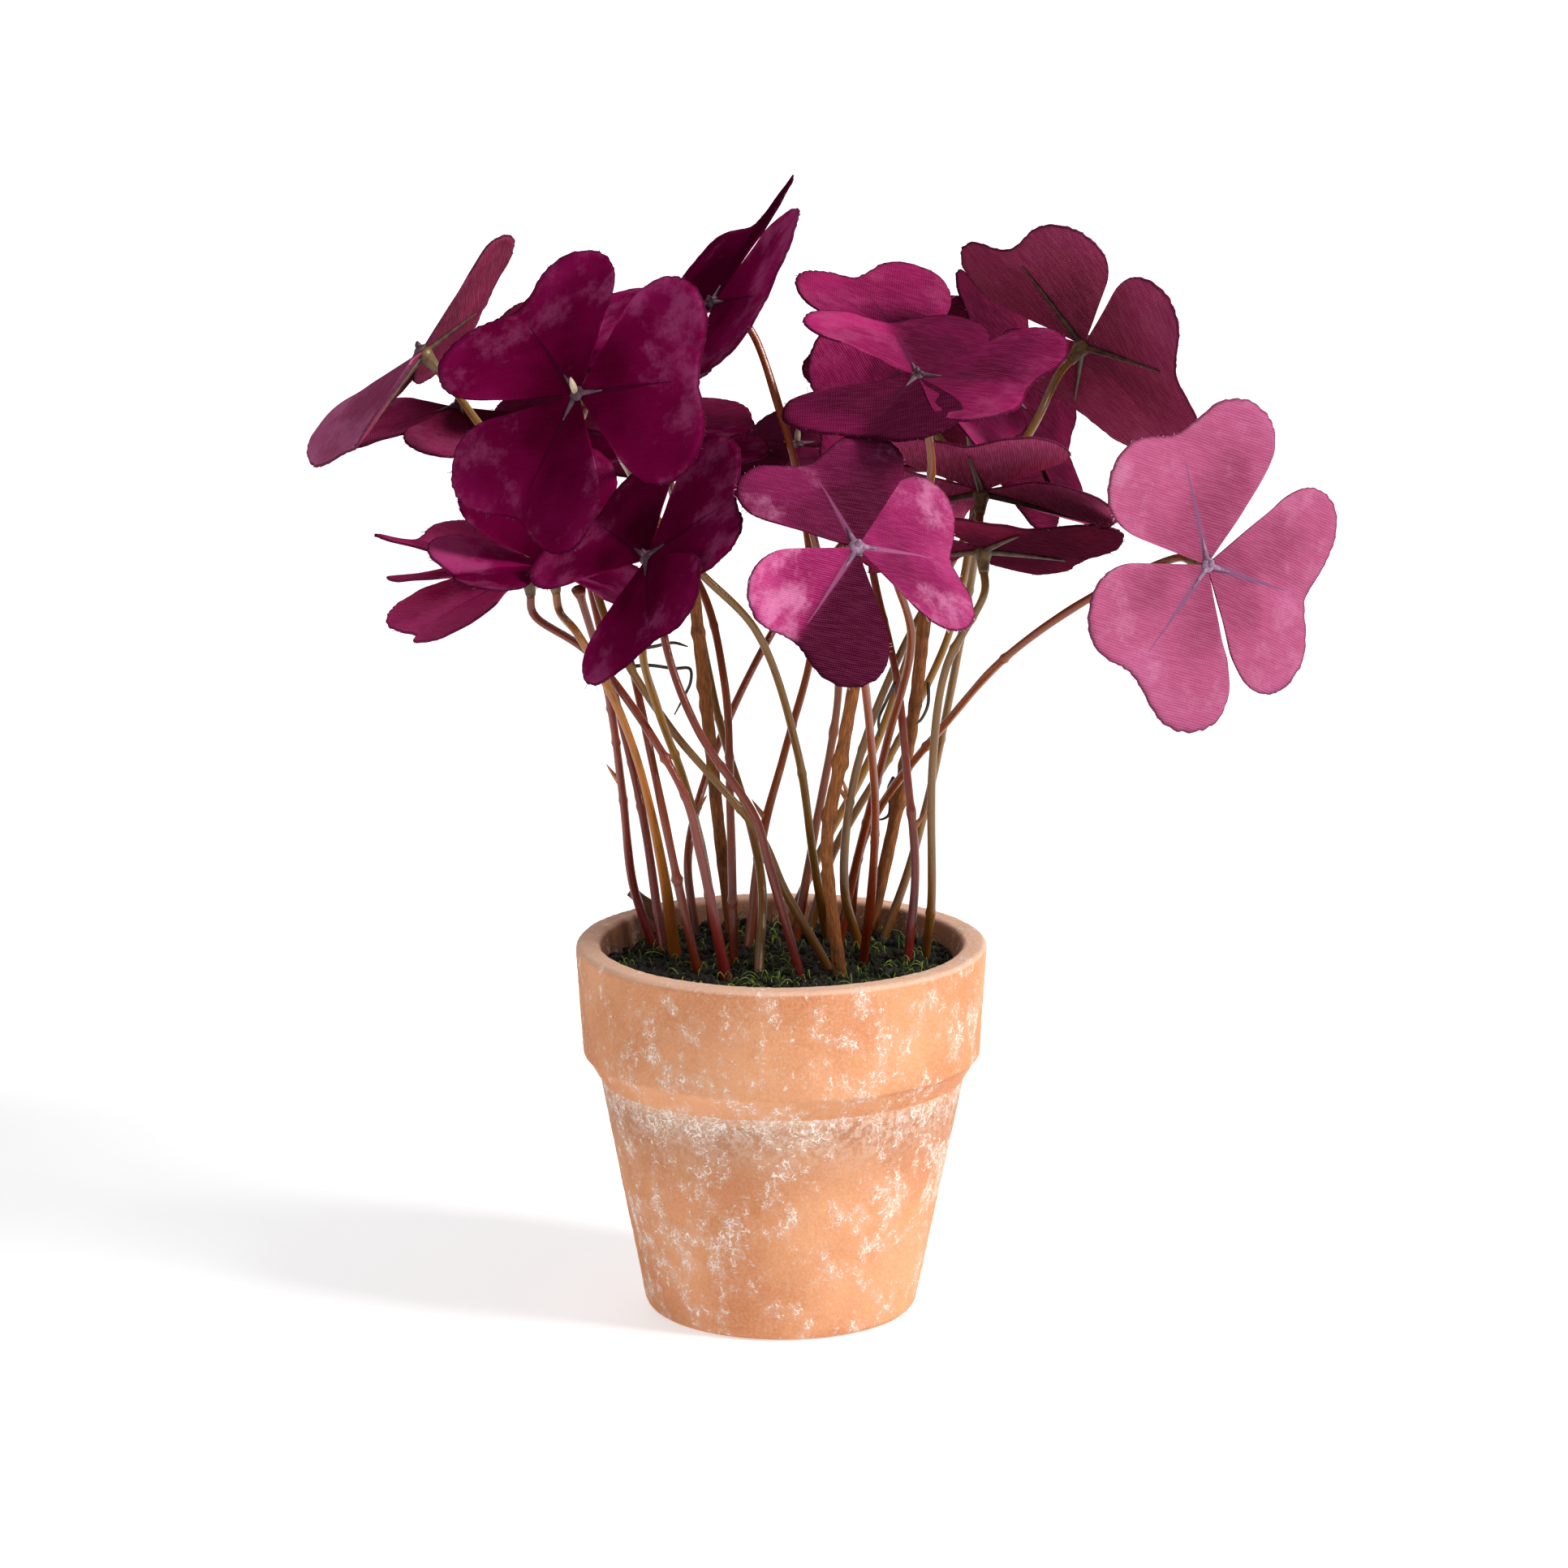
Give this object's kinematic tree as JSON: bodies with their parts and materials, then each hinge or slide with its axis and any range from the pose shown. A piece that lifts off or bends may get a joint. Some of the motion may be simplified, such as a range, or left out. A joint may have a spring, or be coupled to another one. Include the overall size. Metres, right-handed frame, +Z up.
{
  "type": "artificial potted oxalis",
  "caption": "Artificial oxalis: purple shamrock-like fabric leaves on moulded stems with woody twigs, set in the soil of a small whitewashed terracotta pot that stands on its flat base.",
  "frame": {"origin": "middle of the pot's flat underside", "axes": "+Z up along the pot's axis, the longest extent; -Z out of the underside; -Y towards the front view; +X to the right in it"},
  "size_m": [0.1584, 0.147, 0.1774],
  "materials": {
    "terracotta": "rough unglazed, lime whitewash worn through",
    "soil": "rough loose crumbs with moss threads",
    "foam": "rough foam",
    "leaf_purple": "coated plain weave, dull",
    "leaf_pink": "coated plain weave, dull",
    "stem_red": "glossy",
    "stem_olive": "glossy",
    "stem_golden": "glossy",
    "twig_wood": "dry bark",
    "tendril_wire": "dark brown, dull"
  },
  "bodies": {
    "root": {"pot": "terracotta", "foam_filler": "foam", "soil": "soil", "stem_front_left": "stem_olive", "leaf_front_left": "leaf_purple", "stem_far_right": "stem_red", "leaf_far_right": "leaf_pink", "stem_front_middle": "stem_red", "leaf_front_middle": "leaf_pink", "stem_top_right": "stem_olive", "leaf_top_right": "leaf_purple", "stem_top_middle": "stem_red", "leaf_top_middle": "leaf_purple", "stem_far_left": "stem_olive", "leaf_far_left": "leaf_purple", "stem_left_inner": "stem_red", "leaf_left_inner": "leaf_purple", "stem_right_upper": "stem_red", "leaf_right_upper": "leaf_purple", "stem_right_inner": "stem_red", "leaf_right_inner": "leaf_purple", "stem_right_back": "stem_olive", "leaf_right_back": "leaf_purple", "stem_right_low": "stem_olive", "leaf_right_low": "leaf_purple", "stem_right_low_back": "stem_olive", "leaf_right_low_back": "leaf_purple", "stem_middle_back": "stem_red", "leaf_middle_back": "leaf_purple", "stem_left_low_front": "stem_red", "leaf_left_low_front": "leaf_purple", "stem_left_low": "stem_red", "leaf_left_low": "leaf_purple", "stem_left_shelf": "stem_golden", "leaf_left_shelf": "leaf_purple", "stem_left_top_back": "stem_red", "leaf_left_top_back": "leaf_purple", "stem_left_middle": "stem_red", "leaf_left_middle": "leaf_purple", "stem_back_middle": "stem_red", "leaf_back_middle": "leaf_purple", "stem_back_left": "stem_olive", "leaf_back_left": "leaf_purple", "stem_back_right": "stem_olive", "leaf_back_right": "leaf_purple", "stem_back_far_left": "stem_red", "leaf_back_far_left": "leaf_purple", "stem_left_bare": "stem_red", "twig_middle": "twig_wood", "twig_front": "twig_wood", "bark_twig": "twig_wood", "twig_right": "twig_wood", "tendril_left": "tendril_wire", "tendril_left_top": "tendril_wire", "tendril_middle": "tendril_wire", "tendril_right": "tendril_wire", "tendril_curl": "tendril_wire"}
  },
  "joints": []
}
